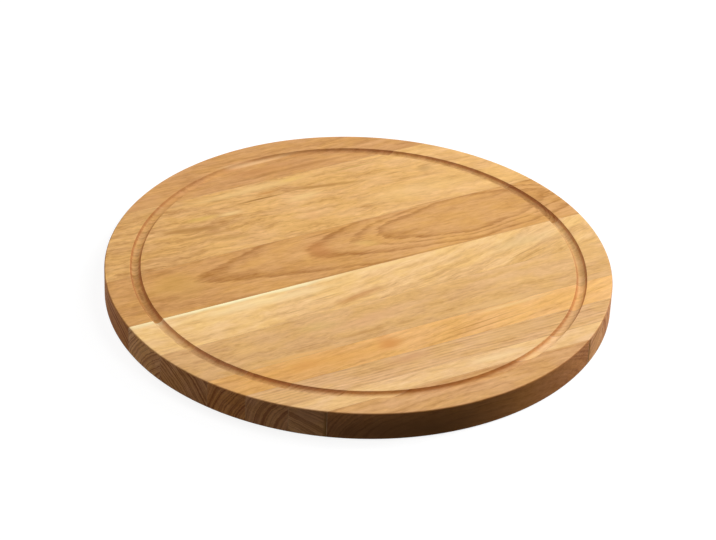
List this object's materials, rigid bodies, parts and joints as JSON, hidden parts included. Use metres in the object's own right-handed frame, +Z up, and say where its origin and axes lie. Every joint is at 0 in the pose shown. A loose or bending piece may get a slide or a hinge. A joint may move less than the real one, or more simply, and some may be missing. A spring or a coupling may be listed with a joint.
{
  "type": "round serving board",
  "caption": "Round wooden serving board of edge-glued staves, with a juice groove near the rim and eased edges, lying on a flat underside.",
  "frame": {"origin": "middle of the flat underside, on the round's axis", "axes": "+Z up through the serving face along the round's axis; the grain of every stave runs along X; -Y is the front, where the narrow staves are"},
  "size_m": [0.35, 0.35, 0.0205],
  "materials": {
    "front_stave_1": "oiled, satin",
    "front_stave_2": "oiled, satin",
    "front_stave_3": "oiled, satin",
    "front_stave_4": "oiled, satin",
    "front_stave_5": "oiled, satin",
    "front_stave_6": "oiled, satin",
    "rear_stave_1": "oiled, satin",
    "rear_stave_2": "oiled, satin",
    "rear_stave_3": "oiled, satin",
    "dried_glue": "sanded flush"
  },
  "bodies": {
    "root": {"front_stave_1": "front_stave_1", "front_stave_2": "front_stave_2", "front_stave_3": "front_stave_3", "front_stave_4": "front_stave_4", "front_stave_5": "front_stave_5", "front_stave_6": "front_stave_6", "rear_stave_1": "rear_stave_1", "rear_stave_2": "rear_stave_2", "rear_stave_3": "rear_stave_3", "middle_glue_line": "dried_glue", "front_glue_line_1": "dried_glue", "front_glue_line_2": "dried_glue", "front_glue_line_3": "dried_glue", "front_glue_line_4": "dried_glue", "front_glue_line_5": "dried_glue", "rear_glue_line_1": "dried_glue", "rear_glue_line_2": "dried_glue"}
  },
  "joints": []
}
